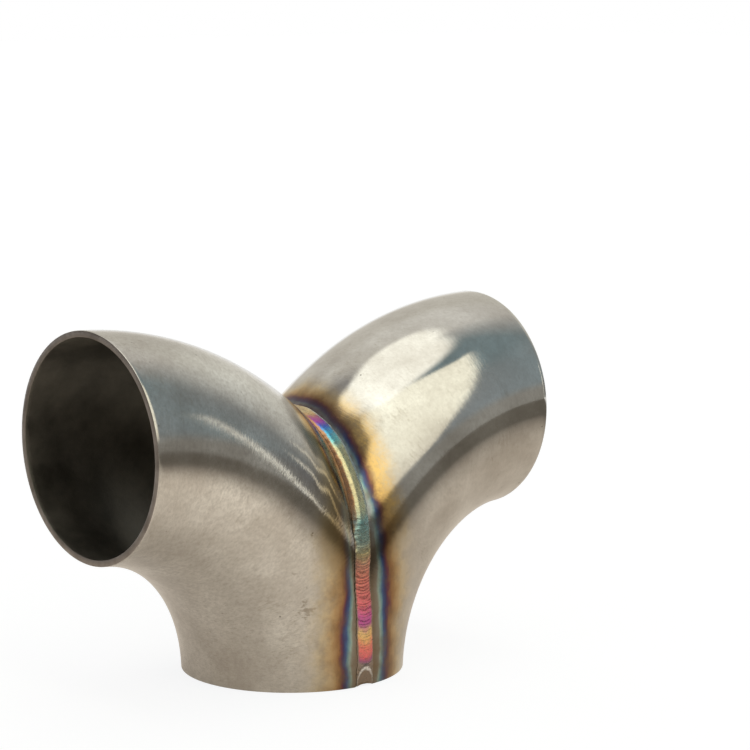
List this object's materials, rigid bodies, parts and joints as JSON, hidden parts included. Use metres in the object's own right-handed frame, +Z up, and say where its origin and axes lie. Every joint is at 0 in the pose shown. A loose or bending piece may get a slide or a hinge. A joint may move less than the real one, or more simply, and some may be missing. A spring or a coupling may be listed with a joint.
{
  "type": "lateral wye fitting",
  "caption": "Twin-elbow wye for stainless tube: two mitred short bends joined by one outside weld bead, sharing a base port and opening to opposite sides.",
  "frame": {"origin": "centre of the base port's face, which is the bottom of the fitting", "axes": "+Z up the base port's axis, side ports towards -X and +X, the weld in the plane x = 0"},
  "size_m": [0.1544, 0.0714, 0.113],
  "materials": {
    "polished_tube": "belt-polished stainless steel with heat tint beside the weld",
    "weld_metal": "as-welded stainless bead, rippled and heat tinted"
  },
  "bodies": {
    "root": {"left_elbow": "polished_tube", "right_elbow": "polished_tube", "weld_bead": "weld_metal"}
  },
  "joints": []
}
